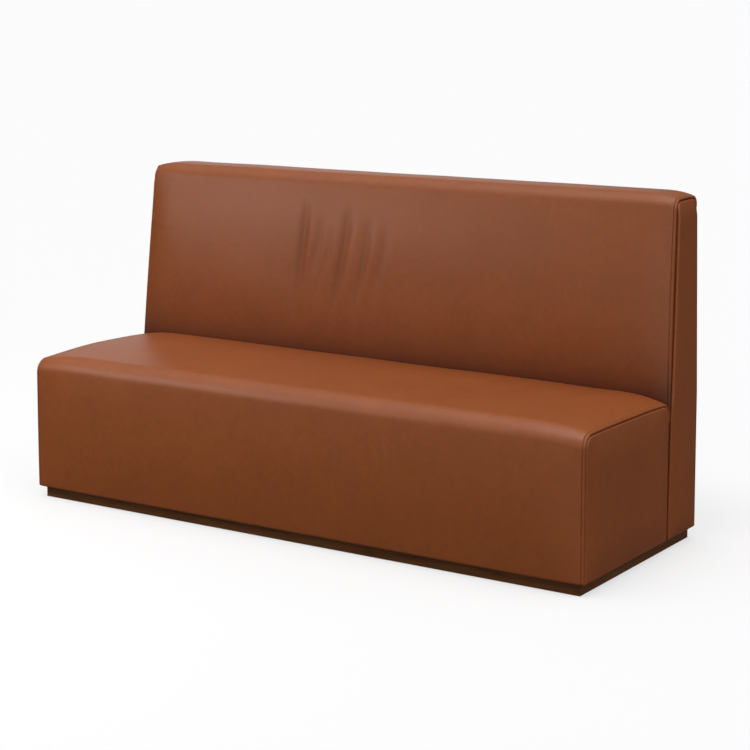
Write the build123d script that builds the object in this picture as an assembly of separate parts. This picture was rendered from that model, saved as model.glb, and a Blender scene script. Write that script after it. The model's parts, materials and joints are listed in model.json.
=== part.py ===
from build123d import *
import math
import os

# A restaurant booth bench: an upholstered seat block and an upholstered back block,
# bolted together on one recessed plinth. Lengths are in millimetres.
# The origin is the middle of the footprint on the floor. +X runs along the bench to
# the right as seen by someone facing it, -Y is the front and +Z is up.

# Overall sizes of the upholstery
overall_width = 2030.0
seat_depth = 548.0
back_depth = 190.0
seat_edge_height = 458.0
back_edge_height = 1066.0
back_recline = 39.0
module_gap = 2.0

# Swell of the padding. It is full in the middle and falls away to the end seams.
seat_crown = 13.0
seat_top_bow = 4.0
seat_front_swell = 4.0
back_crown = 13.0
back_top_bow = 3.0
back_face_swell = 14.0
swell_power = 0.3
loft_steps = 6

# Rolled edges of the padding, at mid-length and at the end seams
seat_roll_radius = 46.0
seat_roll_end_radius = 20.0
back_roll_radius = 36.0
back_roll_end_radius = 16.0
back_rear_radius = 12.0
hem_radius = 8.0

# Leather and the clearance that keeps soft pieces off their neighbours
leather = 2.0
soft_clearance = 0.3
seam_gap = 0.3
under_hem = 18.0
rear_tuck = 60.0

# Padding depths, from the outside of the leather to the frame
frame_inset = 22.0
seat_padding = 97.0
back_padding = 46.0
back_top_padding = 40.0
foam_drop_below_seat = 60.0

# Boards and rails. The ribs divide each block into equal bays.
panel_thickness = 18.0
board_thickness = 9.0
rear_board_thickness = 6.0
cleat_size = 30.0
back_rail_width = 45.0
back_rail_height = 30.0
lumbar_rail_width = 78.0
bay_count = 3

# Plinth
plinth_height = 37.0
plinth_inset = 22.0
plinth_rear_inset = 5.0
plinth_rail_thickness = 18.0
cross_rail_width = 60.0
corner_block_size = 70.0
corner_block_thickness = 22.0
dust_cover_thickness = 1.0

# Levelling glides
foot_radius = 16.0
foot_thickness = 6.0
collar_across_flats = 13.0
stem_radius = 4.0
stem_running_clearance = 0.08
stem_end_clearance = 1.0
glide_nut_flange_radius = 11.0
glide_nut_flange_thickness = 1.5
glide_nut_barrel_radius = 5.0
glide_nut_barrel_length = 10.0
glide_stop_clearance = 0.3

# Seat suspension
spring_count = 8
spring_bars = 20
spring_wire_radius = 1.9
spring_loop_radius = 12.0
spring_width = 60.0
clip_width = 20.0
clip_depth = 14.0
clip_height = 10.0
clip_clearance = 0.2
insulator_thickness = 6.0

# Wood screws
screw_length = 45.0
screw_radius = 2.2
screw_head_radius = 4.4
screw_head_height = 3.0
screw_clearance = 0.1
screw_edge_distance = 60.0

# Bolts between the two blocks
bolt_radius = 4.0
bolt_height = 200.0
bolt_bay_share = 0.25
bolt_head_across_flats = 13.0
bolt_head_height = 5.3
washer_radius = 12.0
washer_thickness = 1.6
bolt_nut_flange_radius = 11.0
bolt_nut_flange_thickness = 1.5
bolt_nut_barrel_radius = 5.2
bolt_nut_barrel_length = 10.0
bolt_hole_clearance = 0.3
thread_clearance = 0.1

# One overrun serves all cuts
overrun = 5.0

# Places that follow from the sizes
overall_depth = seat_depth + module_gap + back_depth
half_width = overall_width / 2
front_y = -overall_depth / 2
rear_y = overall_depth / 2
seat_rear_y = front_y + seat_depth
back_front_y = seat_rear_y + module_gap
wrap_half = half_width - leather - seam_gap
skin = leather + soft_clearance
foam_half = half_width - skin
frame_half = half_width - frame_inset
end_rib_x = frame_half - panel_thickness / 2
rib_pitch = 2 * end_rib_x / bay_count
rib_places = [-end_rib_x, -rib_pitch / 2, rib_pitch / 2, end_rib_x]
spring_pitch = 2 * frame_half / spring_count
bolt_x = rib_pitch * bolt_bay_share
frame_low = plinth_height
pad_low = frame_low + skin

seat_panel_front_y = front_y + frame_inset
seat_panel_rear_y = seat_rear_y - skin
foam_low = seat_edge_height - seat_padding
seat_panel_top = foam_low - insulator_thickness - clip_height

back_board_y = back_front_y + back_padding
back_lower_y = back_front_y + skin
back_foam_low = seat_edge_height - foam_drop_below_seat
back_frame_top = back_edge_height - back_top_padding
back_frame_rear_y = rear_y - skin
back_rise = back_edge_height - back_foam_low
back_board_top_y = back_board_y + back_recline * (back_frame_top - back_foam_low) / back_rise


# Small helpers

def block_between(x0, x1, y0, y1, z0, z1):
    """A box given by its two corners."""
    place = Pos((x0 + x1) / 2, (y0 + y1) / 2, (z0 + z1) / 2)
    return place * Box(x1 - x0, y1 - y0, z1 - z0)


def prism_along_x(points, x0, x1):
    """A straight prism whose outline is given in Y and Z."""
    outline = make_face(Polyline(*points, close=True))
    return extrude(Plane.YZ.offset(x0) * outline, x1 - x0)


def rod(radius, length, start, towards):
    """A round rod that starts at a point and runs towards a direction."""
    profile = Plane(origin=start, z_dir=towards) * Circle(radius)
    return extrude(profile, length)


def hex_rod(across_flats, length, start, towards):
    """A hexagonal rod, sized across its flats."""
    profile = Plane(origin=start, z_dir=towards) * RegularPolygon(across_flats / 2, 6, major_radius=False)
    return extrude(profile, length)


def bowed(start, end, rise):
    """A line, or an arc that stands off it to the left."""
    if rise == 0:
        return Line(start, end)
    along = Vector(*end) - Vector(*start)
    outward = Vector(-along.Y, along.X).normalized()
    middle = (Vector(*start) + Vector(*end)) / 2 + outward * rise
    return ThreePointArc(start, middle, end)


def rounded(face, corner, radius):
    """Rounds the corner of an outline that lies nearest to a point."""
    target = Vector(*corner)
    nearest = min(face.vertices(), key=lambda v: (Vector(v.X, v.Y) - target).length)
    return fillet(nearest, radius)


def swell_at(x):
    """Share of the full swell at a place along the bench."""
    return max(0, 1 - (x / half_width) ** 2) ** swell_power


def stations(half):
    """Places of the loft's sections, closer together towards the ends."""
    turn = math.pi / 2 / loft_steps
    return [half * math.sin(turn * step) for step in range(-loft_steps, loft_steps + 1)]


def lofted(outline, half, inset):
    """The upholstered form of a block, drawn in by an inset."""
    sections = [Plane.YZ.offset(x) * outline(swell_at(x), inset) for x in stations(half)]
    return loft(sections)


def both_sides(solid):
    """A piece and its mirror image at the other end of the bench."""
    return solid, mirror(solid, about=Plane.YZ)


def cut(solid, tools):
    """Takes each tool away from a solid."""
    for tool in tools:
        solid = solid - tool
    return solid


# Outlines of the two upholstered blocks, in Y and Z

def seat_outline(swell, inset):
    front = front_y + seat_front_swell * (1 - swell) + inset
    rear = seat_rear_y - inset
    low = plinth_height + inset
    high = seat_edge_height + seat_crown * swell - inset
    roll = seat_roll_end_radius + (seat_roll_radius - seat_roll_end_radius) * swell - inset
    face = make_face([
        Line((rear, low), (front, low)),
        Line((front, low), (front, high)),
        bowed((front, high), (rear, high), seat_top_bow),
        Line((rear, high), (rear, low)),
    ])
    face = rounded(face, (front, high), roll)
    face = rounded(face, (rear, high), hem_radius - inset)
    return rounded(face, (front, low), hem_radius - inset)


def back_outline(swell, inset):
    front = back_front_y + inset
    rear = rear_y - inset
    low = plinth_height + inset
    high = back_edge_height + back_crown * swell - inset
    lean = front + back_recline * (high - back_foam_low) / back_rise
    roll = back_roll_end_radius + (back_roll_radius - back_roll_end_radius) * swell - inset
    face = make_face([
        Line((rear, low), (front, low)),
        Line((front, low), (front, back_foam_low)),
        bowed((front, back_foam_low), (lean, high), back_face_swell * swell),
        bowed((lean, high), (rear, high), back_top_bow),
        Line((rear, high), (rear, low)),
    ])
    face = rounded(face, (lean, high), roll)
    return rounded(face, (rear, high), back_rear_radius - inset)


# Fasteners

def screw(start, towards, grow):
    """A countersunk wood screw with its head flush at the start point."""
    seat = Plane(origin=start, z_dir=towards)
    head = seat * Pos(0, 0, screw_head_height / 2) * Cone(
        screw_head_radius + grow, screw_radius + grow, screw_head_height)
    return head + rod(screw_radius + grow, screw_length, start, towards)


def screws(places, grow):
    return [screw(start, towards, grow) for start, towards in places]


def seat_screw_places():
    """Screws through the front and rear panels into the edges of the ribs."""
    places = []
    for x in rib_places:
        for z in (frame_low + screw_edge_distance, seat_panel_top - screw_edge_distance):
            places.append(((x, seat_panel_front_y, z), (0, 1, 0)))
            places.append(((x, seat_panel_rear_y, z), (0, -1, 0)))
    return places


def back_screw_places():
    """Screws through the rear and lower boards into the edges of the ribs."""
    rear_span = back_frame_top - frame_low - 2 * screw_edge_distance
    places = []
    for x in rib_places:
        for share in (0, 0.5, 1):
            z = frame_low + screw_edge_distance + rear_span * share
            places.append(((x, back_frame_rear_y, z), (0, -1, 0)))
        for z in (frame_low + screw_edge_distance, back_foam_low - screw_edge_distance):
            places.append(((x, back_lower_y, z), (0, 1, 0)))
    return places


# Plinth places

plinth_half = half_width - plinth_inset
plinth_front_y = front_y + plinth_inset
plinth_rear_y = rear_y - plinth_rear_inset
plinth_inner_half = plinth_half - plinth_rail_thickness
plinth_inner_front_y = plinth_front_y + plinth_rail_thickness
plinth_inner_rear_y = plinth_rear_y - plinth_rail_thickness
plinth_inside_top = plinth_height - dust_cover_thickness
block_low = plinth_inside_top - corner_block_thickness
cleat_mid_y = seat_panel_front_y + panel_thickness + cleat_size / 2
back_rail_front_y = back_frame_rear_y - rear_board_thickness - back_rail_width
back_screw_y = (back_rail_front_y + plinth_inner_rear_y) / 2
glide_x = plinth_inner_half - corner_block_size / 2
glide_front_y = plinth_inner_front_y + corner_block_size / 2 + foot_radius / 2
glide_rear_y = plinth_inner_rear_y - corner_block_size / 2 - foot_radius / 2
glide_places = {
    "front_left": (-glide_x, glide_front_y),
    "front_right": (glide_x, glide_front_y),
    "rear_left": (-glide_x, glide_rear_y),
    "rear_right": (glide_x, glide_rear_y),
}


def plinth_screw_places():
    """Screws up through the corner blocks and cross rails into the two blocks above."""
    places = []
    for y in (cleat_mid_y, back_screw_y):
        for x in (-glide_x, -rib_pitch / 2, rib_pitch / 2, glide_x):
            places.append(((x, y, block_low), (0, 0, 1)))
    return places


def mitre_cutter(x, y, turn):
    """A large block with one face on the mitre through an inner and an outer corner."""
    reach = overall_width
    cutter = block_between(0, reach, -reach, reach, -overrun, plinth_height + overrun)
    return Pos(x, y, 0) * Rot(0, 0, turn) * cutter


# Each node is made by its own function below, and joins this table of nodes.

nodes = {}


def make_plinth():
    front = block_between(-plinth_half, plinth_half, plinth_front_y, plinth_inner_front_y,
                          0, plinth_height)
    rear = block_between(-plinth_half, plinth_half, plinth_inner_rear_y, plinth_rear_y,
                         0, plinth_height)
    side = block_between(plinth_inner_half, plinth_half, plinth_front_y, plinth_rear_y,
                         0, plinth_height)
    front_mitre = mitre_cutter(plinth_half, plinth_front_y, 45)
    rear_mitre = mitre_cutter(plinth_half, plinth_rear_y, -45)
    nodes["plinth_front_rail"] = cut(front, both_sides(front_mitre))
    nodes["plinth_rear_rail"] = cut(rear, both_sides(rear_mitre))
    side = side & front_mitre & rear_mitre
    nodes["plinth_right_rail"], nodes["plinth_left_rail"] = both_sides(side)


def make_cross_rails():
    holes = screws(plinth_screw_places(), screw_clearance)
    wells = [rod(screw_head_radius + screw_clearance, block_low + overrun,
                 (start[0], start[1], -overrun), (0, 0, 1))
             for start, towards in plinth_screw_places()]
    for name, x in (("left", -rib_pitch / 2), ("right", rib_pitch / 2)):
        rail = block_between(x - cross_rail_width / 2, x + cross_rail_width / 2,
                             plinth_inner_front_y, plinth_inner_rear_y, 0, plinth_inside_top)
        nodes["plinth_cross_rail_" + name] = cut(rail, holes + wells)


def make_corner_blocks():
    holes = screws(plinth_screw_places(), screw_clearance)
    blocks = []
    depth = glide_front_y + foot_radius + overrun - plinth_inner_front_y
    for name, (x, y) in glide_places.items():
        x0 = plinth_inner_half - corner_block_size if x > 0 else -plinth_inner_half
        y0 = plinth_inner_front_y if y < 0 else plinth_inner_rear_y - depth
        block = block_between(x0, x0 + corner_block_size, y0, y0 + depth,
                              block_low, plinth_inside_top)
        bore = rod(glide_nut_barrel_radius + thread_clearance, plinth_height, (x, y, 0), (0, 0, 1))
        blocks.append(cut(block, holes + [bore]))
    nodes["plinth_corner_blocks"] = Compound(blocks)


def make_plinth_screws():
    nodes["plinth_screws"] = Compound(screws(plinth_screw_places(), 0))


def make_glides():
    nuts = []
    shoulder = block_low - glide_nut_flange_thickness - glide_stop_clearance
    bore_radius = stem_radius + stem_running_clearance
    for name, (x, y) in glide_places.items():
        foot = rod(foot_radius, foot_thickness, (x, y, 0), (0, 0, 1))
        foot = chamfer(foot.faces().sort_by(Axis.Z)[-1].edges(), foot_thickness / 3)
        collar = hex_rod(collar_across_flats, shoulder - foot_thickness,
                         (x, y, foot_thickness), (0, 0, 1))
        stem = rod(stem_radius, plinth_inside_top - stem_end_clearance - foot_thickness,
                   (x, y, foot_thickness), (0, 0, 1))
        nodes["glide_" + name] = foot + collar + stem
        flange_low = block_low - glide_nut_flange_thickness
        flange = rod(glide_nut_flange_radius, glide_nut_flange_thickness,
                     (x, y, flange_low), (0, 0, 1))
        barrel = rod(glide_nut_barrel_radius, glide_nut_barrel_length, (x, y, block_low), (0, 0, 1))
        bore = rod(bore_radius, plinth_height, (x, y, 0), (0, 0, 1))
        nuts.append(flange + barrel - bore)
    nodes["glide_tee_nuts"] = Compound(nuts)


def make_dust_covers():
    holes = screws(plinth_screw_places(), screw_clearance)
    low = plinth_inside_top
    for name, y0, y1 in (("seat", plinth_inner_front_y, seat_rear_y - seam_gap),
                         ("back", seat_rear_y + seam_gap, plinth_inner_rear_y)):
        sheet = block_between(-plinth_inner_half, plinth_inner_half, y0, y1, low, plinth_height)
        nodes[name + "_dust_cover"] = cut(sheet, holes)


def bolt_places():
    """Two bolts in the middle bay and one in the middle of each outer bay."""
    return [(x, seat_panel_rear_y - panel_thickness, bolt_height)
            for x in (-rib_pitch, -bolt_x, bolt_x, rib_pitch)]


def bolt_holes(radius):
    reach = panel_thickness + overrun
    return [rod(radius, 2 * reach + back_lower_y - seat_panel_rear_y, (x, y - overrun, z), (0, 1, 0))
            for x, y, z in bolt_places()]


def make_seat_frame():
    holes = screws(seat_screw_places(), screw_clearance)
    plinth_holes = screws(plinth_screw_places(), screw_clearance)
    front = block_between(-frame_half, frame_half, seat_panel_front_y,
                          seat_panel_front_y + panel_thickness, frame_low, seat_panel_top)
    rear = block_between(-frame_half, frame_half, seat_panel_rear_y - panel_thickness,
                         seat_panel_rear_y, frame_low, seat_panel_top)
    nodes["seat_front_panel"] = cut(front, holes)
    nodes["seat_rear_panel"] = cut(rear, holes + bolt_holes(bolt_radius + bolt_hole_clearance))
    inner_front = seat_panel_front_y + panel_thickness
    inner_rear = seat_panel_rear_y - panel_thickness
    front_cleat = block_between(-frame_half, frame_half, inner_front, inner_front + cleat_size,
                                frame_low, frame_low + cleat_size)
    rear_cleat = block_between(-frame_half, frame_half, inner_rear - cleat_size, inner_rear,
                               frame_low, frame_low + cleat_size)
    names = ("seat_left_side_panel", "seat_left_rib", "seat_right_rib", "seat_right_side_panel")
    for name, x in zip(names, rib_places):
        rib = block_between(x - panel_thickness / 2, x + panel_thickness / 2,
                            inner_front, inner_rear, frame_low, seat_panel_top)
        nodes[name] = cut(rib, [front_cleat, rear_cleat] + holes)
    nodes["seat_front_cleat"] = cut(front_cleat, plinth_holes)
    nodes["seat_rear_cleat"] = rear_cleat
    nodes["seat_frame_screws"] = Compound(screws(seat_screw_places(), 0))


def spring_path(x, y0, pitch, z):
    """Cross bars joined by half turns, alternating to the left and the right."""
    bar = spring_width / 2 - spring_loop_radius
    edges = []
    side = -1
    for step in range(spring_bars):
        y = y0 + pitch * step
        edges.append(Line((x + side * bar, y, z), (x - side * bar, y, z)))
        if step < spring_bars - 1:
            start = (x - side * bar, y, z)
            middle = (x - side * (bar + pitch / 2), y + pitch / 2, z)
            edges.append(ThreePointArc(start, middle, (x - side * bar, y + pitch, z)))
        side = -side
    return Wire(edges)


def make_springs():
    z = seat_panel_top + clip_height / 2
    y0 = seat_panel_front_y + panel_thickness / 2
    y1 = seat_panel_rear_y - panel_thickness / 2
    pitch = (y1 - y0) / (spring_bars - 1)
    springs = []
    clips = []
    for index in range(spring_count):
        x = spring_pitch * (index - (spring_count - 1) / 2)
        path = spring_path(x, y0, pitch, z)
        profile = Plane(origin=path @ 0, z_dir=path % 0) * Circle(spring_wire_radius)
        springs.append(sweep(profile, path=path))
        for y in (y0, y1):
            clip = block_between(x - clip_width / 2, x + clip_width / 2, y - clip_depth / 2,
                                 y + clip_depth / 2, seat_panel_top, seat_panel_top + clip_height)
            hook = rod(spring_wire_radius + clip_clearance, clip_width + 2 * overrun,
                       (x - clip_width / 2 - overrun, y, z), (1, 0, 0))
            clips.append(clip - hook)
    nodes["seat_springs"] = Compound(springs)
    nodes["seat_spring_clips"] = Compound(clips)


def make_seat_padding():
    body = lofted(seat_outline, foam_half, skin)
    reach = half_width + overrun
    top = seat_edge_height + seat_crown + seat_top_bow + overrun
    above = block_between(-reach, reach, front_y - overrun, seat_rear_y + overrun, foam_low, top)
    before = block_between(-reach, reach, front_y - overrun, seat_panel_front_y, 0, foam_low)
    nodes["seat_foam"] = body & above
    nodes["seat_front_foam"] = body & before
    nodes["seat_insulator_pad"] = block_between(
        -frame_half, frame_half, seat_panel_front_y, seat_panel_rear_y,
        foam_low - insulator_thickness, foam_low)
    pad = block_between(frame_half, foam_half, seat_panel_front_y, seat_panel_rear_y,
                        pad_low, foam_low)
    nodes["seat_right_side_pad"], nodes["seat_left_side_pad"] = both_sides(pad)


def make_seat_covers():
    shell = lofted(seat_outline, wrap_half, 0) - lofted(seat_outline, wrap_half, leather)
    opening = block_between(-half_width, half_width, front_y + under_hem, seat_rear_y + overrun,
                            0, seat_edge_height - rear_tuck)
    nodes["seat_top_and_front_cover"] = shell - opening
    end = Plane.YZ.offset(half_width - leather) * seat_outline(0, 0)
    nodes["seat_right_side_cover"], nodes["seat_left_side_cover"] = both_sides(extrude(end, leather))


def back_frame_points(low):
    """Outline of the back's frame, with the step where the foam starts."""
    return [(back_lower_y, low), (back_lower_y, back_foam_low), (back_board_y, back_foam_low),
            (back_board_top_y, back_frame_top), (back_frame_rear_y, back_frame_top),
            (back_frame_rear_y, low)]


def make_back_frame():
    holes = screws(back_screw_places(), screw_clearance)
    plinth_holes = screws(plinth_screw_places(), screw_clearance)
    lean = (back_board_top_y - back_board_y) / (back_frame_top - back_foam_low)
    board_depth = board_thickness * math.hypot(1, lean)
    inner_rear = back_frame_rear_y - rear_board_thickness
    rear = block_between(-frame_half, frame_half, inner_rear, back_frame_rear_y,
                         frame_low, back_frame_top)
    front = prism_along_x([
        (back_board_y, back_foam_low), (back_board_top_y, back_frame_top),
        (back_board_top_y + board_depth, back_frame_top), (back_board_y + board_depth, back_foam_low),
    ], -frame_half, frame_half)
    lumbar_low = back_foam_low - panel_thickness
    lumbar = block_between(-frame_half, frame_half, back_lower_y, back_lower_y + lumbar_rail_width,
                           lumbar_low, back_foam_low)
    lower = block_between(-frame_half, frame_half, back_lower_y, back_lower_y + panel_thickness,
                          frame_low, lumbar_low)
    top = block_between(-frame_half, frame_half, back_board_top_y, inner_rear,
                        back_frame_top - panel_thickness, back_frame_top) - front
    bottom_front = block_between(-frame_half, frame_half, back_lower_y + panel_thickness,
                                 back_lower_y + panel_thickness + back_rail_width,
                                 frame_low, frame_low + back_rail_height)
    bottom_rear = block_between(-frame_half, frame_half, back_rail_front_y, inner_rear,
                                frame_low, frame_low + back_rail_height)
    members = [rear, front, lumbar, lower, top, bottom_front, bottom_rear]
    names = ("back_left_end_frame", "back_left_rib", "back_right_rib", "back_right_end_frame")
    for name, x in zip(names, rib_places):
        rib = prism_along_x(back_frame_points(frame_low),
                            x - panel_thickness / 2, x + panel_thickness / 2)
        nodes[name] = cut(rib, members + holes)
    nodes["back_rear_board"] = cut(rear, holes)
    nodes["back_front_board"] = front
    nodes["back_lumbar_rail"] = lumbar
    nodes["back_lower_board"] = cut(
        lower, holes + bolt_holes(bolt_nut_barrel_radius + thread_clearance))
    nodes["back_top_rail"] = top
    nodes["back_bottom_front_rail"] = cut(bottom_front, holes)
    nodes["back_bottom_rear_rail"] = cut(bottom_rear, plinth_holes + holes)
    nodes["back_frame_screws"] = Compound(screws(back_screw_places(), 0))


def make_back_padding():
    body = lofted(back_outline, foam_half, skin)
    reach = half_width + overrun
    high = back_edge_height + back_crown + back_top_bow + overrun
    above = block_between(-reach, reach, back_front_y - overrun - back_face_swell,
                          rear_y + overrun, back_frame_top, high)
    before = prism_along_x([
        (back_front_y - back_face_swell - overrun, back_foam_low), (back_board_y, back_foam_low),
        (back_board_top_y, back_frame_top),
        (back_front_y - back_face_swell - overrun, back_frame_top),
    ], -reach, reach)
    nodes["back_top_foam"] = body & above
    nodes["back_front_foam"] = body & before
    pad = prism_along_x(back_frame_points(pad_low), frame_half, foam_half)
    nodes["back_right_side_pad"], nodes["back_left_side_pad"] = both_sides(pad)


def make_back_covers():
    shell = lofted(back_outline, wrap_half, 0) - lofted(back_outline, wrap_half, leather)
    rear_seam = back_edge_height - back_rear_radius
    reach = half_width + overrun
    below = block_between(-reach, reach, front_y, rear_y + overrun,
                          0, back_foam_low - rear_tuck)
    behind = block_between(-reach, reach, back_board_top_y, rear_y + overrun, 0, rear_seam)
    nodes["back_front_and_top_cover"] = shell - below - behind
    nodes["back_rear_cover"] = block_between(-wrap_half, wrap_half, rear_y - leather, rear_y,
                                             plinth_height, rear_seam - seam_gap)
    end = Plane.YZ.offset(half_width - leather) * back_outline(0, 0)
    nodes["back_right_side_cover"], nodes["back_left_side_cover"] = both_sides(extrude(end, leather))


def make_joining_hardware():
    bolts, washers, packers, nuts = [], [], [], []
    nut_flange_y = back_lower_y + panel_thickness
    for x, y, z in bolt_places():
        head_y = y - washer_thickness
        length = nut_flange_y + bolt_nut_flange_thickness - head_y
        head = hex_rod(bolt_head_across_flats, bolt_head_height,
                       (x, head_y - bolt_head_height, z), (0, 1, 0))
        bolts.append(head + rod(bolt_radius, length, (x, head_y, z), (0, 1, 0)))
        hole = rod(bolt_radius + bolt_hole_clearance, length, (x, head_y, z), (0, 1, 0))
        washers.append(rod(washer_radius, washer_thickness, (x, head_y, z), (0, 1, 0)) - hole)
        packers.append(rod(washer_radius, back_lower_y - seat_panel_rear_y,
                           (x, seat_panel_rear_y, z), (0, 1, 0)) - hole)
        thread = rod(bolt_radius + thread_clearance, length, (x, head_y, z), (0, 1, 0))
        flange = rod(bolt_nut_flange_radius, bolt_nut_flange_thickness,
                     (x, nut_flange_y, z), (0, 1, 0))
        barrel = rod(bolt_nut_barrel_radius, bolt_nut_barrel_length,
                     (x, nut_flange_y, z), (0, -1, 0))
        nuts.append(flange + barrel - thread)
    nodes["joining_bolts"] = Compound(bolts)
    nodes["joining_washers"] = Compound(washers)
    nodes["joining_packers"] = Compound(packers)
    nodes["joining_tee_nuts"] = Compound(nuts)


make_plinth()
make_cross_rails()
make_corner_blocks()
make_plinth_screws()
make_glides()
make_dust_covers()
make_seat_frame()
make_springs()
make_seat_padding()
make_seat_covers()
make_back_frame()
make_back_padding()
make_back_covers()
make_joining_hardware()

os.makedirs("parts", exist_ok=True)
for node_name, node in nodes.items():
    export_step(node, "parts/" + node_name + ".step")
print(len(nodes), "nodes written")
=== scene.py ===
import json
import math

import bmesh
import bpy
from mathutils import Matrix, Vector, noise


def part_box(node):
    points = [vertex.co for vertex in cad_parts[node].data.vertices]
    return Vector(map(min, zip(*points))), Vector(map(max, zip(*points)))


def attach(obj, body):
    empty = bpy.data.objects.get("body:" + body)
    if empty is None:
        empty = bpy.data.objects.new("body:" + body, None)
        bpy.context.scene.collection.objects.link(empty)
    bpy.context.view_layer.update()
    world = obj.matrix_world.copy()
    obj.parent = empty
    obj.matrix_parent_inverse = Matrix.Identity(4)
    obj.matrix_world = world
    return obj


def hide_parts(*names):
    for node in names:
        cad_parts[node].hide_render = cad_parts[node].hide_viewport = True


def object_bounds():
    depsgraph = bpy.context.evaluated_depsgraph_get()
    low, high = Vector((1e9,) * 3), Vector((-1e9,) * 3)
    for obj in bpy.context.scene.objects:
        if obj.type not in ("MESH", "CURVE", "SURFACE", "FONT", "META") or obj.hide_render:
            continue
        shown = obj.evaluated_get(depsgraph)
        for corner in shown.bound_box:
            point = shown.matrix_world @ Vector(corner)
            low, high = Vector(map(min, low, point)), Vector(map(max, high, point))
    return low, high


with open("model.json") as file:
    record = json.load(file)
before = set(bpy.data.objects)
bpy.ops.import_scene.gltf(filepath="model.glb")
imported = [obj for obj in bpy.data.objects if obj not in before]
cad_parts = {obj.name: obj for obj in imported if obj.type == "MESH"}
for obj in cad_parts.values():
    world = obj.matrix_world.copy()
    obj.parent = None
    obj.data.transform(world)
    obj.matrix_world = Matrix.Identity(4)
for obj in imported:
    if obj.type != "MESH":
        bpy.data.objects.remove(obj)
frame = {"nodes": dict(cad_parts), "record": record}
cad_low, cad_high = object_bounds()

# The upholstery of the booth: leather panels sewn over crowned foam, with one row of
# topstitching beside each seam. Everything is in metres, in the frame of the bench.

BENCH = "bench"

# Where the covers are, from the frame
seat_side_low, seat_side_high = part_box("seat_right_side_cover")
back_side_low, back_side_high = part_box("back_right_side_cover")
back_face_forward = 0.0044
seat_under_back = 0.006
half_width = seat_side_high.x
hem_height = seat_side_low.z
seat_front = cad_low.y
back_front = back_side_low.y - back_face_forward
seat_rear = back_front + seat_under_back
back_rear = back_side_high.y

# Seat block: its edge line, how far the stuffed leather stands out of it, and its rolls
seat_edge_height = 0.458
seat_crown = 0.019
seat_top_bow = 0.0065
seat_front_swell = 0.005
seat_front_bulge = 0.015
seat_roll = 0.046
seat_roll_end = 0.038
seat_rear_roll = 0.016
seat_rear_roll_end = 0.046
seat_pillow_width = 0.20
rear_tuck = 0.060
under_hem = 0.018
hem_roll = 0.007
smallest_hem_roll = 0.002

# Heights between which the seat's bow, its rise to the back and its unevenness set in
seat_bow_reach = 0.05
seat_bow_foot = 0.40
seat_rise_middle = 0.002
seat_rise_slope = 0.006
seat_rise_run = 0.30
seat_rise_foot = 0.38
seat_rise_head = 0.01
seat_wave_foot = 0.40
seat_wave_head = 0.46

# Back block: its edge line and lean, how far the leather stands out of it, and its rolls
back_edge_height = 1.053
back_foam_low = 0.398
back_lean = 0.0486
back_slope = back_lean / (back_edge_height - back_foam_low)
back_crown = 0.015
back_crown_width = 0.11
back_top_bow = 0.004
back_bow_reach = 0.03
back_face_swell = 0.036
back_roll = 0.036
back_roll_end = 0.027
back_rear_roll = 0.014
back_rear_roll_end = 0.022
back_roll_width = 0.11
back_roll_share = 0.48
back_pillow_width = 0.35
back_foot_drop = 0.010
back_foot_power = 2.5
back_head_power = 2.2
back_tuck = 0.060

# How much narrower each half of the back is at its top, on its face and behind it
back_taper_left = 0.026
back_taper_right = 0.011
back_taper_rear = 0.012
back_taper_start = 0.006
back_taper_run = 0.036

# How fast the painted shade fades above the seat, and the crease depth that is painted fully dark
shade_fade_height = 0.085
shade_full_crease = 0.013

# The seam between the back's top panel and the plain panel behind
back_rear_seam = 0.030
rear_seam = back_edge_height - back_rear_seam
rear_seam_above = 0.002
rear_seam_below = 0.001
rear_seam_round = 0.001
rear_flange = 0.014
rear_flange_depth = 0.0021
rear_panel_roll = 0.0022
rear_panel_roll_steps = 4
rear_panel_inset = 0.0065
rear_panel_return = 0.009
rear_panel_corner = 0.006
rear_panel_reach = 0.12
rear_panel_steps = [80, 160, 80, 160]
rear_ring_step = 0.002
rear_ring_growth = 0.12

# Seams, topstitching and the leather itself
leather = 0.0016
lip_radius = 0.0030
side_lip_radius = 0.0050
side_lip_lead = side_lip_radius * math.sqrt(2)
lip_steps = 7
lip_start = -45
lip_end = 90
tuck_depth = 0.012
side_tuck_depth = 0.035
stitch_distance = 0.0112
stitch_valley = 0.0026
stitch_valley_width = 0.0020
stitch_sunk_share = 0.72
stitch_pitch = 0.0092
stitch_length = 0.0060
stitch_radius = 0.00065
same_place = 1e-7

# Side panels: corner radii at the front foot and the rear foot, how far the rear edge is
# rounded, and how far and over what distance the middle is puffed out
seat_side_front_foot = 0.008
seat_side_rear_foot = 0.016
seat_side_rear_round = 0.022
seat_side_puff = 0.010
seat_side_reach = 0.125
back_side_front_foot = 0.006
back_side_rear_foot = 0.012
back_side_rear_round = 0.003
back_side_puff = 0.007
back_side_reach = 0.066
back_side_lean_reach = 0.19
back_side_rear_reach = 0.03
side_ring_step = 0.0016
side_ring_growth = 0.10

# How finely the panels are divided
grid_step = 0.0075
first_column_step = 0.0011
column_step_growth = 1.18
profile_arc_steps = 14
tightest_corner = 0.0015
seat_profile_steps = [2, 38, 46, 5, 1]
back_profile_steps = [78, 12, 3, 1, 2]
seat_side_steps = [46, 60, 46, 60]
back_side_steps = [90, 14, 90, 14]

# Slow unevenness of the leather: it is calm near the seams
calm_start = 0.02
calm_end = 0.12
seat_wave_size = 0.22
seat_wave_depth = 0.0022
seat_wave_squeeze = 1.2
seat_wave_front_share = 0.3
back_wave_size = 0.24
back_wave_depth = 0.0024
back_wave_squeeze = 1.3
back_wave_place = 7.0
back_wave_top_share = 0.5
back_face_end = 0.004
back_top_start = 0.05

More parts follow.
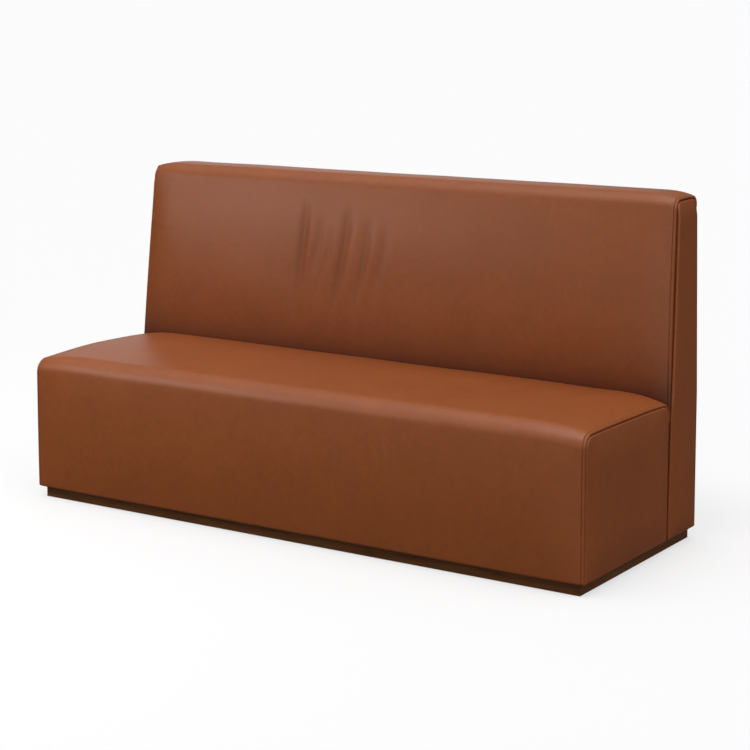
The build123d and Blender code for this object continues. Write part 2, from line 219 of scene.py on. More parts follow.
# Creases of the back panel: place of the crease's middle along X, its top and bottom
# heights, how far its foot leans, its half width and its depth
creases = [
    (-0.334, 0.990, 0.510, -0.026, 0.017, 0.0052),
    (-0.174, 0.970, 0.540, -0.058, 0.019, 0.0058),
    (-0.087, 0.940, 0.560, -0.044, 0.018, 0.0048),
    (-0.268, 0.930, 0.690, -0.030, 0.016, 0.0025),
    (-0.224, 0.900, 0.680, -0.028, 0.015, 0.0025),
    (-0.014, 0.910, 0.650, -0.030, 0.018, 0.0030),
]
crease_sway = 0.006
crease_sway_turn = 5
crease_high_power = 0.7
crease_fade_power = 1.2

# The ridges beside a crease: share of its depth, place and width in half widths
crease_ridges = ((0.55, 1.9, 1.2), (0.35, -1.9, 1.3))

# The stretch of each block's outline that is stitched, from the front foot backwards
seat_stitch_span = slice(14, -20)
back_stitch_span = slice(0, -35)

# Finishes that show in the photograph, as linear colours
leather_dark = (0.240, 0.056, 0.0080, 1)
leather_light = (0.310, 0.076, 0.0120, 1)
# painted shade: the tint multiplied into the leather low on the back and in its creases
leather_shade_tint = (0.36, 0.29, 0.20, 1)
leather_mottle_share = 0.68
leather_cloud_share = 0.32
leather_tone_low = 0.3
leather_tone_high = 0.7
leather_gloss_low = 0.42
leather_gloss_high = 0.54
leather_specular = 0.56
thread_dark = (0.045, 0.016, 0.008)
thread_light = (0.10, 0.036, 0.016)
walnut_dark = (0.094, 0.035, 0.0113)
walnut_light = (0.162, 0.063, 0.0212)
wood_specular = 0.15
wood_grain_stretch = 0.06

# Studio
floor_reach = 3000.0
floor_grey = (0.36, 0.36, 0.36, 1)
floor_glow = 0.60
backdrop_colour = (0.975, 0.975, 0.975, 1)
sky_below = 0.084
sky_level = 0.0
sky_above = 0.504
horizon_low = 0.495
horizon_high = 0.505

# The soft box: its place, what it points at, its size and its power
softbox_place = (-2.2, -2.1, 1.7)
softbox_target = (0.0, 0.0, 0.6)
softbox_size = (1.2, 0.8)
softbox_power = 19.0

# The far lights: azimuth, elevation, strength and width in degrees
suns = {
    "top_wide": (0, 80, 1.36, 60),
    "top_strip": (-10, 65, 0.42, 20),
    "camera_side": (32, 14, 0.48, 30),
    "front_strip": (-6, 5, 0.20, 14),
    "right_fill": (75, 25, 0.40, 50),
    "right_rear": (118, 24, 0.28, 36),
    "left_rear": (-143, 15, 0.14, 24),
}

# The camera, as fitted to the photograph: yaw and pitch in degrees, lens in millimetres
camera_place = (3.4138, -5.0550, 1.6641)
camera_yaw = 33.38
camera_pitch = 6.79
camera_sensor = 36.0
camera_lens = 93.87
camera_shift = -0.2
camera_sight = 9000.0


# Shapes shared by the panels

def pillow(distance, width, power=2.4):
    """Rises from 0 at a seam to 1 at a distance inside the panel."""
    share = min(max(distance / width, 0.0), 1.0)
    return 1.0 - (1.0 - share) ** power


def blend(low, high, share):
    """Part of the way from one value to another."""
    return low + (high - low) * share


def smooth(value, low, high):
    """Goes softly from 0 at the low value to 1 at the high one."""
    share = min(max((value - low) / (high - low), 0.0), 1.0)
    return share * share * (3 - 2 * share)


def rounded_path(corners, radii, steps, closed, arc_steps=8):
    """Points along straight runs with rounded corners, the same count for any sizes."""
    count = len(corners)
    points = []
    ends = []
    for i in range(count):
        here = Vector(corners[i])
        if not closed and i in (0, count - 1):
            ends.append((here, here, None))
            continue
        before = (Vector(corners[i - 1]) - here).normalized()
        after = (Vector(corners[(i + 1) % count]) - here).normalized()
        half_angle = before.angle(after) / 2
        reach = radii[i] / math.tan(half_angle)
        centre = here + (before + after).normalized() * (radii[i] / math.sin(half_angle))
        ends.append((here + before * reach, here + after * reach, centre))
    for i in range(count if closed else count - 1):
        start, stop, centre = ends[i]
        if centre is not None:
            a = start - centre
            b = stop - centre
            turn = a.angle(b)
            for k in range(arc_steps):
                share = k / arc_steps
                spoke = (a * math.sin((1 - share) * turn) + b * math.sin(share * turn)) / math.sin(turn)
                points.append(centre + spoke)
        run_stop = ends[(i + 1) % count][0]
        for k in range(steps[i]):
            points.append(stop.lerp(run_stop, k / steps[i]))
    if not closed:
        points.append(ends[-1][0])
    return points


def lip_reach(radius):
    """How far from the corner a sewn lip ends and the flat leather starts."""
    return radius * (1 + math.sqrt(2))


def seam_lip(radius, straight_tuck):
    """Pairs of distance from the corner and depth, from the tuck round to the outside.

    Two such lips meet at a corner in one deep crease, as two sewn edges do."""
    lip = []
    for k in range(lip_steps + 1):
        turn = math.radians(blend(lip_start, lip_end, k / lip_steps))
        lip.append((lip_reach(radius) - radius * math.cos(turn), radius * (1 - math.sin(turn))))
    distance, depth = lip[0]
    if straight_tuck:
        return [(distance, depth + side_tuck_depth), (distance, depth + side_tuck_depth / 4)] + lip
    return [(distance + tuck_depth, depth + tuck_depth),
            (distance + tuck_depth / 3, depth + tuck_depth / 3)] + lip


def seam_columns():
    """Columns of half a panel, from its tuck at the seam to the middle of the bench."""
    columns = seam_lip(lip_radius, False)
    distance = columns[-1][0]
    step = first_column_step
    while distance + step < half_width:
        distance += step
        dip = (distance - stitch_distance) / stitch_valley_width
        columns.append((distance, stitch_valley * math.exp(-dip * dip)))
        if distance > 2 * stitch_distance:
            step = min(step * column_step_growth, grid_step)
    return columns


def mirrored_columns():
    """Columns of a panel that runs from the left seam to the right one."""
    right = seam_columns()
    left = [(-(half_width - d), inset) for d, inset in right]
    return left + [(half_width - d, inset) for d, inset in reversed(right)]


def new_piece(bm, name):
    """Makes a smooth-shaded object of a finished bmesh."""
    mesh = bpy.data.meshes.new(name)
    bm.to_mesh(mesh)
    bm.free()
    piece = bpy.data.objects.new(name, mesh)
    bpy.context.scene.collection.objects.link(piece)
    for face in mesh.polygons:
        face.use_smooth = True
    return piece


def grid_piece(name, lines):
    """A sheet whose rows of points are given, all the same length."""
    rows = len(lines)
    count = len(lines[0])
    bm = bmesh.new()
    bmesh.ops.create_grid(bm, x_segments=count - 1, y_segments=rows - 1, size=1.0)
    for vert in bm.verts:
        i = round((vert.co.x + 1) / 2 * (count - 1))
        j = round((vert.co.y + 1) / 2 * (rows - 1))
        vert.co = lines[j][i]
    return new_piece(bm, name)


def ring_piece(name, rings):
    """A panel made of closed rings from its edge inwards, the last one filled flat."""
    bm = bmesh.new()
    first = [bm.verts.new(p) for p in rings[0]]
    edges = [bm.edges.new((first[i], first[(i + 1) % len(first)])) for i in range(len(first))]
    for ring in rings[1:]:
        grown = bmesh.ops.extrude_edge_only(bm, edges=edges)["geom"]
        verts = [g for g in grown if isinstance(g, bmesh.types.BMVert)]
        edges = [g for g in grown if isinstance(g, bmesh.types.BMEdge)]
        for vert, point in zip(verts, ring):
            vert.co = point
    bmesh.ops.edgenet_fill(bm, edges=edges)
    bmesh.ops.recalc_face_normals(bm, faces=bm.faces)
    return new_piece(bm, name)


def soft_waves(point, size, depth):
    """A slow unevenness, as foam has under leather."""
    return depth * noise.noise(point / size)


# Seat block

def seat_profile(x, inset):
    """The seat's outline in Y and Z at one place along the bench."""
    swell = pillow(half_width - abs(x), seat_pillow_width)
    front = seat_front + seat_front_swell * (1 - swell) + inset
    rear = seat_rear - inset
    low = hem_height + inset
    high = seat_edge_height + seat_crown * swell - inset
    roll = blend(seat_roll_end, seat_roll, swell) - inset / 2
    small = max(hem_roll - inset / 2, smallest_hem_roll)
    rear_roll = blend(seat_rear_roll_end, seat_rear_roll, swell) - inset / 2
    path = rounded_path(
        [(front + under_hem, low), (front, low), (front, high), (rear, high), (rear, high - rear_tuck)],
        [0, small, roll, rear_roll, 0], seat_profile_steps, closed=False, arc_steps=profile_arc_steps)
    points = []
    for y, z in path:
        along = (y - front) / (rear - front)
        lift = seat_top_bow * 4 * along * (1 - along) * smooth(z, high - seat_bow_reach, high)
        up = (z - low) / (high - low)
        bulge = seat_front_bulge * swell * 4 * up * (1 - up) * (1 - smooth(y, front, front + roll))
        points.append((y - bulge, z + lift))
    return points


def seat_rise(x, y, z):
    """How far the seat's top rises towards the back, a little more at its left end."""
    rise = seat_rise_middle - seat_rise_slope * x / half_width
    return (rise * smooth(y - seat_front, 0.0, seat_rise_run)
            * smooth(z, seat_rise_foot, seat_edge_height - seat_rise_head))


def seat_surface(x, y, z):
    """Soft unevenness of the seat panel."""
    calm = smooth(half_width - abs(x), calm_start, calm_end)
    wave = soft_waves(Vector((x, y * seat_wave_squeeze, z)), seat_wave_size, seat_wave_depth) * calm
    up = smooth(z, seat_wave_foot, seat_wave_head)
    return Vector((x, y - wave * seat_wave_front_share, z + wave * up + seat_rise(x, y, z)))


def make_seat_wrap():
    """The leather over the seat's top and down its front."""
    lines = []
    for x, inset in mirrored_columns():
        lines.append([seat_surface(x, y, z) for y, z in seat_profile(x, inset)])
    piece = grid_piece("leather_seat_top_and_front", lines)
    finish_leather(piece, "seat_top_and_front_cover", "seat_foam", "seat_front_foam")


def side_outline(corners, radii, steps, inset):
    """A side panel's outline in Y and Z, drawn in by the inset."""
    (y0, z0), (y1, z1), (y2, z2), (y3, z3) = corners
    moved = [(y0 + inset, z0 + inset), (y1 + inset, z1 - inset),
             (y2 - inset, z2 - inset), (y3 - inset, z3 + inset)]
    return rounded_path(moved, [max(r - inset, tightest_corner) for r in radii], steps, closed=True)


def side_rings(corners, radii, steps, rear_round, reach, puff, x_sign):
    """Rings of a side panel from its tuck to its middle, its rear and lower edges rounded."""
    front, low = corners[0]
    rear, high = corners[2]
    insets = seam_lip(side_lip_radius, True)
    flat = insets[-1][0]
    inset = insets[-1][0]
    while inset < reach:
        inset += min(side_ring_step + inset * side_ring_growth, grid_step)
        insets.append((inset, 0.0))
    rings = []
    for inset, drop in insets:
        ring = []
        for y, z in side_outline(corners, radii, steps, inset):
            fill = puff
            for edge in (y - front, rear - y, z - low, high - z):
                fill *= pillow(edge - flat, reach - flat)
            x = half_width - drop + fill
            x -= edge_round(rear - y, rear_round) + edge_round(z - low, hem_roll)
            ring.append(Vector((x_sign * x, y, z)))
        rings.append(ring)
    return rings


def edge_round(distance, radius):
    """How far a rounded edge falls away near the edge."""
    if distance >= radius:
        return 0.0
    share = 1 - max(distance, 0.0) / radius
    return radius * (1 - math.sqrt(max(1 - share * share, 0.0)))


def make_seat_sides():
    """The leather panels at the seat's ends, sewn on along the front and the top."""
    front = seat_front + seat_front_swell
    low = hem_height - side_lip_lead
    radii = [seat_side_front_foot, seat_roll_end, seat_rear_roll_end, seat_side_rear_foot]
    corners = [(front, low), (front, seat_edge_height), (seat_rear, seat_edge_height), (seat_rear, low)]
    for name, sign in (("left", -1), ("right", 1)):
        rings = side_rings(corners, radii, seat_side_steps, seat_side_rear_round,
                           seat_side_reach, seat_side_puff, sign)
        for ring in rings:
            for point in ring:
                along = (point.y - front) / (seat_rear - front)
                bow = smooth(point.z, seat_bow_foot, seat_edge_height)
                point.z += (seat_top_bow * 4 * along * (1 - along) * bow
                            + seat_rise(point.x, point.y, point.z))
        piece = ring_piece("leather_seat_" + name + "_side", rings)
        finish_leather(piece, "seat_" + name + "_side_cover", "seat_" + name + "_side_pad")


# Back block

def back_profile(x, inset):
    """The back's outline in Y and Z at one place along the bench."""
    from_end = half_width - abs(x)
    crown = pillow(from_end, back_crown_width)
    swell = blend(pillow(from_end, back_pillow_width), pillow(from_end, back_roll_width), back_roll_share)
    high = back_edge_height + back_crown * crown - inset
    rise = high - back_foam_low
    front = back_front + inset
    top_front = front + back_slope * rise
    rear = back_rear - inset
    low = back_foam_low - back_tuck
    roll = blend(back_roll_end, back_roll, crown) - inset / 2
    rear_roll = blend(back_rear_roll_end, back_rear_roll, crown) - inset / 2
    foot = seat_edge_height - back_foot_drop
    path = rounded_path(
        [(front - back_slope * back_tuck, low), (top_front, high), (rear, high),
         (rear, rear_seam + rear_seam_above),
         (rear - rear_flange_depth, rear_seam - rear_seam_below),
         (rear - rear_flange_depth, rear_seam - rear_flange)],
        [0, roll, rear_roll, rear_seam_round, rear_seam_round, 0],
        back_profile_steps, closed=False, arc_steps=profile_arc_steps)
    points = []
    for y, z in path:
        off_middle = (2 * z - high - foot) / (high - foot)
        power = back_head_power if off_middle > 0 else back_foot_power
        across = (y - top_front) / (rear - top_front)
        full = max(1 - abs(off_middle) ** power, 0.0)
        push = back_face_swell * swell * full if across < 0.5 else 0.0
        lift = back_top_bow * 4 * across * (1 - across) if 0 < across < 1 else 0
        points.append((y - push, z + lift * smooth(z, high - back_bow_reach, high)))
    return points


def tapered(point):
    """Draws a point in, because the back is narrower at its top, less so behind its face."""
    share = max(point.z - seat_edge_height, 0.0) / (back_edge_height - seat_edge_height)
    front_taper = back_taper_left if point.x < 0 else back_taper_right
    behind = point.y - back_front - back_slope * (point.z - back_foam_low)
    taper = blend(front_taper, min(front_taper, back_taper_rear),
                  smooth(behind, back_taper_start, back_taper_run))
    point.x *= 1 - taper / half_width * share
    return point


def crease_depth(x, z):
    """How far the creases draw the leather in at a place on the back."""
    total = 0.0
    for middle, top, foot, lean, width, depth in creases:
        share = (top - z) / (top - foot)
        if share <= 0 or share >= 1:
            continue
        centre = middle + lean * (share - 0.5) + crease_sway * math.sin(share * crease_sway_turn)
        across = (x - centre) / width
        fade = math.sin(math.pi * share ** crease_high_power) ** crease_fade_power
        fold = math.exp(-across * across)
        for height, place, spread in crease_ridges:
            fold -= height * math.exp(-((across - place) / spread) ** 2)
        total += depth * fade * fold
    return total


def back_surface(x, y, z):
    """Creases and soft unevenness of the back panel."""
    calm = smooth(half_width - abs(x), calm_start, calm_end)
    spot = Vector((x * back_wave_squeeze, back_wave_place, z))
    wave = soft_waves(spot, back_wave_size, back_wave_depth) * calm
    top_front = back_front + back_lean
    on_face = 1 - smooth(y, top_front + back_face_end, top_front + back_top_start)
    return Vector((x, y + (crease_depth(x, z) - wave) * on_face,
                   z + wave * back_wave_top_share * (1 - on_face)))


def painted_shade_at(point):
    """How much painted shade darkens the leather, low on the back where the seat meets it and in its
    creases, from 0 to 1.
    """
    # painted shade where the seat meets the back and in the crease valleys
    low = math.exp(-max(point.z - seat_edge_height - seat_crown, 0.0) / shade_fade_height)
    fold = max(crease_depth(point.x, point.z), 0.0) / shade_full_crease
    return min(max(low, fold), 1.0) if point.y < 0.5 * (back_front + back_rear) else 0.0


def make_back_wrap():
    """The leather up the back's face and over its top, with its painted shade kept in the mesh."""
    lines = []
    for x, inset in mirrored_columns():
        lines.append([tapered(back_surface(x, y, z)) for y, z in back_profile(x, inset)])
    piece = grid_piece("leather_back_front_and_top", lines)
    # painted shade, stored per vertex, low on the back and in its creases
    painted_shade = piece.data.attributes.new("painted_shade", "FLOAT", "POINT")
    for vert, shade_amount in zip(piece.data.vertices, painted_shade.data):
        shade_amount.value = painted_shade_at(vert.co)
    finish_leather(piece, "back_front_and_top_cover", "back_front_foam", "back_top_foam")


def make_back_sides():
    """The leather panels at the back's ends, which close behind on the rear panel."""
    top_front = back_front + back_lean
    low = hem_height - side_lip_lead
    radii = [back_side_front_foot, back_roll_end, back_rear_roll_end, back_side_rear_foot]
    corners = [(back_front, low), (top_front, back_edge_height),
               (back_rear, back_edge_height), (back_rear, low)]
    for name, sign in (("left", -1), ("right", 1)):
        rings = side_rings(corners, radii, back_side_steps, back_side_rear_round,
                           back_side_reach, back_side_puff, sign)
        for ring in rings:
            for point in ring:
                lean_share = 1 - smooth(point.y - back_front, 0.0, back_side_lean_reach)
                straight = (point.z - low) / (back_edge_height - low) * back_lean
                true = max(point.z - back_foam_low, 0) * back_slope
                point.y += (true - straight) * lean_share
                behind = smooth(point.y, back_rear - back_side_rear_reach, back_rear - side_lip_lead)
                above = smooth(point.z, rear_seam - back_side_rear_reach, rear_seam)
                point.y += side_lip_lead * behind * (1 - above)
                across = min(max((point.y - top_front) / (back_rear - top_front), 0.0), 1.0)
                point.z += (back_top_bow * 4 * across * (1 - across)
                            * smooth(point.z, back_edge_height - back_bow_reach, back_edge_height))
                tapered(point)
        piece = ring_piece("leather_back_" + name + "_side", rings)
        finish_leather(piece, "back_" + name + "_side_cover", "back_" + name + "_side_pad")


def make_back_rear():
    """The plain leather panel behind, sewn to the sides and the top."""
    low = hem_height
    high = rear_seam
    wide = half_width - rear_panel_inset
    insets = [(0.0, rear_panel_return), (0.0, rear_panel_return / 2)]
    for k in range(rear_panel_roll_steps + 1):
        turn = math.radians(90 * k / rear_panel_roll_steps)
        insets.append((rear_panel_roll * (1 - math.cos(turn)), rear_panel_roll * (1 - math.sin(turn))))
    inset = insets[-1][0]
    while inset < rear_panel_reach:
        inset += min(rear_ring_step + inset * rear_ring_growth, grid_step)
        insets.append((inset, 0.0))
    rings = []
    for inset, drop in insets:
        corners = [(-wide + inset, low + inset), (-wide + inset, high - inset),
                   (wide - inset, high - inset), (wide - inset, low + inset)]
        radii = [max(rear_panel_corner - inset, tightest_corner)] * 4
        path = rounded_path(corners, radii, rear_panel_steps, closed=True)
        rings.append([tapered(Vector((x, back_rear - drop, z))) for x, z in path])
    piece = ring_piece("leather_back_rear", rings)
    finish_leather(piece, "back_rear_cover")


# Topstitching

def stitch_row(bm, line):
    """Small rounded stitches laid end to end with gaps along a line of points."""
    travelled = 0.0
    wanted = 0.0
    for a, b in zip(line, line[1:]):
        step = (b - a).length
        while step > 0 and wanted <= travelled + step:
            add_stitch(bm, a.lerp(b, (wanted - travelled) / step), (b - a).normalized())
            wanted += stitch_pitch
        travelled += step


def add_stitch(bm, spot, along):
    """One stitch: a small ball drawn out along the seam."""
    turn = along.to_track_quat("Z", "Y").to_matrix().to_4x4()
    made = bmesh.ops.create_uvsphere(bm, u_segments=8, v_segments=6, radius=stitch_radius)
    stretch = stitch_length / 2 - stitch_radius
    for vert in made["verts"]:
        vert.co.z += math.copysign(stretch, vert.co.z) if abs(vert.co.z) > same_place else 0.0
        vert.co = turn @ vert.co + spot


def stitch_line(profile, x, span):
    """Points of the stitched line on a panel's surface."""
    line = [Vector((x, y, z)) for y, z in profile(x, stitch_valley * stitch_sunk_share)][span]
    if profile is back_profile:
        return [tapered(p) for p in line]
    return [p + Vector((0, 0, seat_rise(*p))) for p in line]


def make_stitching():
    """One row of thread beside each of the four side seams."""
    for block, profile, span in (("seat", seat_profile, seat_stitch_span),
                                 ("back", back_profile, back_stitch_span)):
        for name, sign in (("left", -1), ("right", 1)):
            bm = bmesh.new()
            stitch_row(bm, stitch_line(profile, sign * (half_width - stitch_distance), span))
            piece = new_piece(bm, "topstitch_" + block + "_" + name)
            piece.data.materials.append(thread_material)
            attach(piece, BENCH)


# Materials

def node_of(tree, kind, **inputs):
    """A shader node with some of its inputs set; an underscore stands for a space."""
    made = tree.nodes.new(kind)
    for key, value in inputs.items():
        made.inputs[key.replace("_", " ")].default_value = value
    return made


def make_leather():
    """Saddle-brown leather: a mottled tone, a fine pebble grain and painted shade read from a mesh
    attribute.
    """
    material = bpy.data.materials.new("saddle_leather")
    material.use_nodes = True
    tree = material.node_tree
    link = tree.links.new
    shader = tree.nodes["Principled BSDF"]
    shader.inputs["Specular IOR Level"].default_value = leather_specular
    place = tree.nodes.new("ShaderNodeTexCoord").outputs["Object"]

    cloud = node_of(tree, "ShaderNodeTexNoise", Scale=5.0, Detail=5.0, Roughness=0.55)
    mottle = node_of(tree, "ShaderNodeTexNoise", Scale=46.0, Detail=6.0, Roughness=0.68)
    fine = node_of(tree, "ShaderNodeTexNoise", Scale=420.0, Detail=2.0, Roughness=0.6)
    pebble = node_of(tree, "ShaderNodeTexVoronoi", Scale=620.0)
    for texture in (cloud, mottle, fine, pebble):
        link(place, texture.inputs["Vector"])

    tone = tree.nodes.new("ShaderNodeMix")
    tone.data_type = "RGBA"
    tone.inputs["A"].default_value = leather_dark
    tone.inputs["B"].default_value = leather_light
    spread = node_of(tree, "ShaderNodeMapRange")
    spread.inputs["From Min"].default_value = leather_tone_low
    spread.inputs["From Max"].default_value = leather_tone_high
    both = tree.nodes.new("ShaderNodeMath")
    both.operation = "MULTIPLY_ADD"
    both.inputs[1].default_value = leather_mottle_share
    link(mottle.outputs["Fac"], both.inputs[0])
    clouded = tree.nodes.new("ShaderNodeMath")
    clouded.operation = "MULTIPLY"
    clouded.inputs[1].default_value = leather_cloud_share
    link(cloud.outputs["Fac"], clouded.inputs[0])
    link(clouded.outputs[0], both.inputs[2])
    link(both.outputs[0], spread.inputs["Value"])
    link(spread.outputs["Result"], tone.inputs["Factor"])

    # painted shade read from the mesh darkens the leather's tone
    shade_amount = tree.nodes.new("ShaderNodeAttribute")
    shade_amount.attribute_name = "painted_shade"
    darkened = tree.nodes.new("ShaderNodeMix")
    darkened.data_type = "RGBA"
    darkened.blend_type = "MULTIPLY"
    darkened.inputs["B"].default_value = leather_shade_tint
    link(shade_amount.outputs["Fac"], darkened.inputs["Factor"])
    link(tone.outputs["Result"], darkened.inputs["A"])
    link(darkened.outputs["Result"], shader.inputs["Base Color"])

    gloss = node_of(tree, "ShaderNodeMapRange")
    gloss.inputs["To Min"].default_value = leather_gloss_low
    gloss.inputs["To Max"].default_value = leather_gloss_high
    link(mottle.outputs["Fac"], gloss.inputs["Value"])
    link(gloss.outputs["Result"], shader.inputs["Roughness"])

    grain = tree.nodes.new("ShaderNodeMath")
    grain.operation = "ADD"
    link(pebble.outputs["Distance"], grain.inputs[0])
    link(fine.outputs["Fac"], grain.inputs[1])
    bump = node_of(tree, "ShaderNodeBump", Strength=0.18, Distance=0.0006)
    link(grain.outputs[0], bump.inputs["Height"])
    link(bump.outputs["Normal"], shader.inputs["Normal"])
    return material


def make_thread():
    """Dark brown twisted sewing thread."""
    material = bpy.data.materials.new("sewing_thread")
    material.use_nodes = True
    tree = material.node_tree
    shader = tree.nodes["Principled BSDF"]
    shader.inputs["Roughness"].default_value = 0.6
    twist = node_of(tree, "ShaderNodeTexNoise", Scale=900.0)
    tree.links.new(tree.nodes.new("ShaderNodeTexCoord").outputs["Object"], twist.inputs["Vector"])
    ramp = tree.nodes.new("ShaderNodeValToRGB")
    ramp.color_ramp.elements[0].color = (*thread_dark, 1)
    ramp.color_ramp.elements[1].color = (*thread_light, 1)
    tree.links.new(twist.outputs["Fac"], ramp.inputs["Fac"])
    tree.links.new(ramp.outputs["Color"], shader.inputs["Base Color"])
    return material


def make_wood(name, dark, light, along, scale, roughness):
    """Straight-grained wood, with its grain along one axis of the bench."""
    material = bpy.data.materials.new(name)
    material.use_nodes = True
    tree = material.node_tree
    link = tree.links.new
    shader = tree.nodes["Principled BSDF"]
    shader.inputs["Roughness"].default_value = roughness
    shader.inputs["Specular IOR Level"].default_value = wood_specular
    stretch = tree.nodes.new("ShaderNodeMapping")
    stretch.inputs["Scale"].default_value = [
        scale if axis != along else scale * wood_grain_stretch for axis in range(3)]
    link(tree.nodes.new("ShaderNodeTexCoord").outputs["Object"], stretch.inputs["Vector"])
    grain = node_of(tree, "ShaderNodeTexNoise", Scale=1.0, Detail=6.0, Roughness=0.65, Distortion=0.6)
    link(stretch.outputs["Vector"], grain.inputs["Vector"])
    ramp = tree.nodes.new("ShaderNodeValToRGB")
    ramp.color_ramp.elements[0].position = 0.35
    ramp.color_ramp.elements[0].color = (*dark, 1)
    ramp.color_ramp.elements[1].position = 0.68
    ramp.color_ramp.elements[1].color = (*light, 1)
    link(grain.outputs["Fac"], ramp.inputs["Fac"])
    link(ramp.outputs["Color"], shader.inputs["Base Color"])
    bump = node_of(tree, "ShaderNodeBump", Strength=0.15, Distance=0.0005)
    link(grain.outputs["Fac"], bump.inputs["Height"])
    link(bump.outputs["Normal"], shader.inputs["Normal"])
    return material


def make_speckled(name, dark, light, scale, roughness, metallic=0.0, bump_depth=0.0004):
    """A plain stuff with a fine speckle, such as foam, cloth or plated steel."""
    material = bpy.data.materials.new(name)
    material.use_nodes = True
    tree = material.node_tree
    link = tree.links.new
    shader = tree.nodes["Principled BSDF"]
    shader.inputs["Roughness"].default_value = roughness
    shader.inputs["Metallic"].default_value = metallic
    speck = node_of(tree, "ShaderNodeTexNoise", Scale=scale, Detail=3.0)
    link(tree.nodes.new("ShaderNodeTexCoord").outputs["Object"], speck.inputs["Vector"])
    ramp = tree.nodes.new("ShaderNodeValToRGB")
    ramp.color_ramp.elements[0].position = 0.35
    ramp.color_ramp.elements[0].color = (*dark, 1)
    ramp.color_ramp.elements[1].position = 0.65
    ramp.color_ramp.elements[1].color = (*light, 1)
    link(speck.outputs["Fac"], ramp.inputs["Fac"])
    link(ramp.outputs["Color"], shader.inputs["Base Color"])
    bump = node_of(tree, "ShaderNodeBump", Strength=0.3, Distance=bump_depth)
    link(speck.outputs["Fac"], bump.inputs["Height"])
    link(bump.outputs["Normal"], shader.inputs["Normal"])
    return material


leather_material = make_leather()
thread_material = make_thread()
walnut_along = make_wood("walnut_along", walnut_dark, walnut_light, 0, 90, 0.45)
walnut_across = make_wood("walnut_across", walnut_dark, walnut_light, 1, 90, 0.45)
plywood = make_wood("birch_plywood", (0.46, 0.31, 0.17), (0.66, 0.49, 0.30), 0, 60, 0.65)
timber = make_wood("frame_timber", (0.42, 0.27, 0.14), (0.62, 0.45, 0.27), 0, 70, 0.65)
foam = make_speckled("upholstery_foam", (0.70, 0.63, 0.42), (0.84, 0.78, 0.58), 700, 0.95)
felt = make_speckled("felt", (0.22, 0.21, 0.20), (0.40, 0.39, 0.37), 900, 0.95)
dust_cloth = make_speckled("dust_cloth", (0.012, 0.012, 0.013), (0.035, 0.035, 0.037), 1500, 0.9)
spring_steel = make_speckled("spring_steel", (0.20, 0.20, 0.21), (0.34, 0.34, 0.35), 260, 0.38, 1.0)
zinc = make_speckled("zinc_plate", (0.50, 0.50, 0.48), (0.66, 0.66, 0.63), 300, 0.32, 1.0)

slot_materials = {
    "plywood": plywood,
    "frame_timber": timber,
    "foam": foam,
    "felt": felt,
    "dust_cloth": dust_cloth,
    "spring_steel": spring_steel,
    "zinc_steel": zinc,
    "leather": leather_material,
}


def finish_leather(piece, *nodes):
    """Gives a leather piece its finish and thickness, in place of the nodes it stands for."""
    piece.data.materials.append(leather_material)
    wall = piece.modifiers.new("leather thickness", "SOLIDIFY")
    wall.thickness = leather
    wall.offset = -1.0
    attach(piece, BENCH)
    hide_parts(*nodes)


def paint_frame():
    """Gives each CAD node its own finish."""
    slot_of = {s["node"]: s["material_slot"] for s in frame["record"]["subparts"]}
    for name, node in frame["nodes"].items():
        slot = slot_of[name]
        if slot == "walnut":
            runs_along = name in ("plinth_front_rail", "plinth_rear_rail")
            finish = walnut_along if runs_along else walnut_across
        else:
            finish = slot_materials[slot]
        node.data.materials.clear()
        node.data.materials.append(finish)


# Studio

def make_floor():
    """A plain pale floor, which the bench's leather doesn't mirror."""
    bm = bmesh.new()
    bmesh.ops.create_grid(bm, x_segments=1, y_segments=1, size=floor_reach)
    floor = new_piece(bm, "floor")
    material = bpy.data.materials.new("studio_floor")
    material.use_nodes = True
    shader = material.node_tree.nodes["Principled BSDF"]
    shader.inputs["Base Color"].default_value = floor_grey
    shader.inputs["Roughness"].default_value = 0.95
    shader.inputs["Specular IOR Level"].default_value = 0.0
    shader.inputs["Emission Color"].default_value = (1.0, 1.0, 1.0, 1)
    shader.inputs["Emission Strength"].default_value = floor_glow
    floor.data.materials.append(material)
    floor.visible_diffuse = False
    floor.visible_glossy = False


def direction(azimuth, elevation):
    """Towards a light: azimuth 0 is the front, positive to the right, in degrees."""
    a, e = math.radians(azimuth), math.radians(elevation)
    return Vector((math.sin(a) * math.cos(e), -math.cos(a) * math.cos(e), math.sin(e)))


def soft_sun(name, azimuth, elevation, strength, width):
    """A soft light from far away."""
    lamp = bpy.data.lights.new(name, "SUN")
    lamp.energy = strength
    lamp.angle = math.radians(width)
    sun = bpy.data.objects.new(name, lamp)
    sun.rotation_mode = "QUATERNION"
    sun.rotation_quaternion = direction(azimuth, elevation).to_track_quat("Z", "Y")
    bpy.context.scene.collection.objects.link(sun)


def softbox(name, place, target, size, power):
    """A rectangular soft light near the bench."""
    lamp = bpy.data.lights.new(name, "AREA")
    lamp.shape = "RECTANGLE"
    lamp.size, lamp.size_y = size
    lamp.energy = power
    box = bpy.data.objects.new(name, lamp)
    box.location = place
    box.rotation_mode = "QUATERNION"
    box.rotation_quaternion = (Vector(place) - Vector(target)).to_track_quat("Z", "Y")
    bpy.context.scene.collection.objects.link(box)


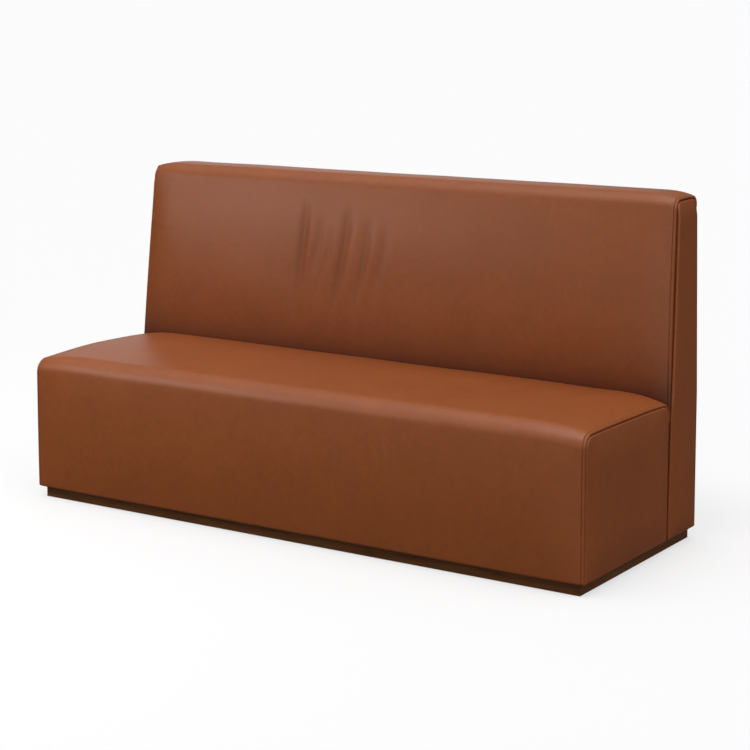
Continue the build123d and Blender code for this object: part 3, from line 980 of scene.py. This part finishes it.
def make_light():
    """A sky that is brighter above, a pale backdrop for the camera, and the lamps."""
    world = bpy.data.worlds.new("studio")
    bpy.context.scene.world = world
    world.use_nodes = True
    tree = world.node_tree
    sky = tree.nodes["Background"]
    apart = tree.nodes.new("ShaderNodeSeparateXYZ")
    tree.links.new(tree.nodes.new("ShaderNodeTexCoord").outputs["Generated"], apart.inputs[0])
    shade = tree.nodes.new("ShaderNodeValToRGB")
    shade.color_ramp.elements[0].position = 0.0
    shade.color_ramp.elements[0].color = (*[sky_below] * 3, 1)
    shade.color_ramp.elements[1].position = 1.0
    shade.color_ramp.elements[1].color = (*[sky_above] * 3, 1)
    for position, level in ((horizon_low, sky_below), (horizon_high, sky_level)):
        stop = shade.color_ramp.elements.new(position)
        stop.color = (level, level, level, 1)
    up = tree.nodes.new("ShaderNodeMapRange")
    up.inputs["From Min"].default_value = -1.0
    tree.links.new(apart.outputs["Z"], up.inputs["Value"])
    tree.links.new(up.outputs["Result"], shade.inputs["Fac"])
    tree.links.new(shade.outputs["Color"], sky.inputs["Color"])
    backdrop = tree.nodes.new("ShaderNodeBackground")
    backdrop.inputs["Color"].default_value = backdrop_colour
    seen = tree.nodes.new("ShaderNodeMixShader")
    tree.links.new(tree.nodes.new("ShaderNodeLightPath").outputs["Is Camera Ray"], seen.inputs["Fac"])
    tree.links.new(sky.outputs["Background"], seen.inputs[1])
    tree.links.new(backdrop.outputs["Background"], seen.inputs[2])
    tree.links.new(seen.outputs["Shader"], tree.nodes["World Output"].inputs["Surface"])
    softbox("left_front_softbox", softbox_place, softbox_target, softbox_size, softbox_power)
    for name, (azimuth, elevation, strength, width) in suns.items():
        soft_sun(name, azimuth, elevation, strength, width)
    bpy.context.scene.view_settings.view_transform = "Standard"


def make_camera():
    """The photograph's viewpoint, in the frame of the bench."""
    ahead = -direction(camera_yaw, camera_pitch)
    data = bpy.data.cameras.new("camera")
    data.sensor_width = camera_sensor
    data.lens = camera_lens
    data.shift_y = camera_shift
    data.clip_end = camera_sight
    camera = bpy.data.objects.new("camera", data)
    camera.location = camera_place
    camera.rotation_mode = "QUATERNION"
    camera.rotation_quaternion = ahead.to_track_quat("-Z", "Y")
    bpy.context.scene.collection.objects.link(camera)
    bpy.context.scene.camera = camera


make_camera()
make_light()
make_floor()
paint_frame()
make_seat_wrap()
make_seat_sides()
make_back_wrap()
make_back_sides()
make_back_rear()
make_stitching()
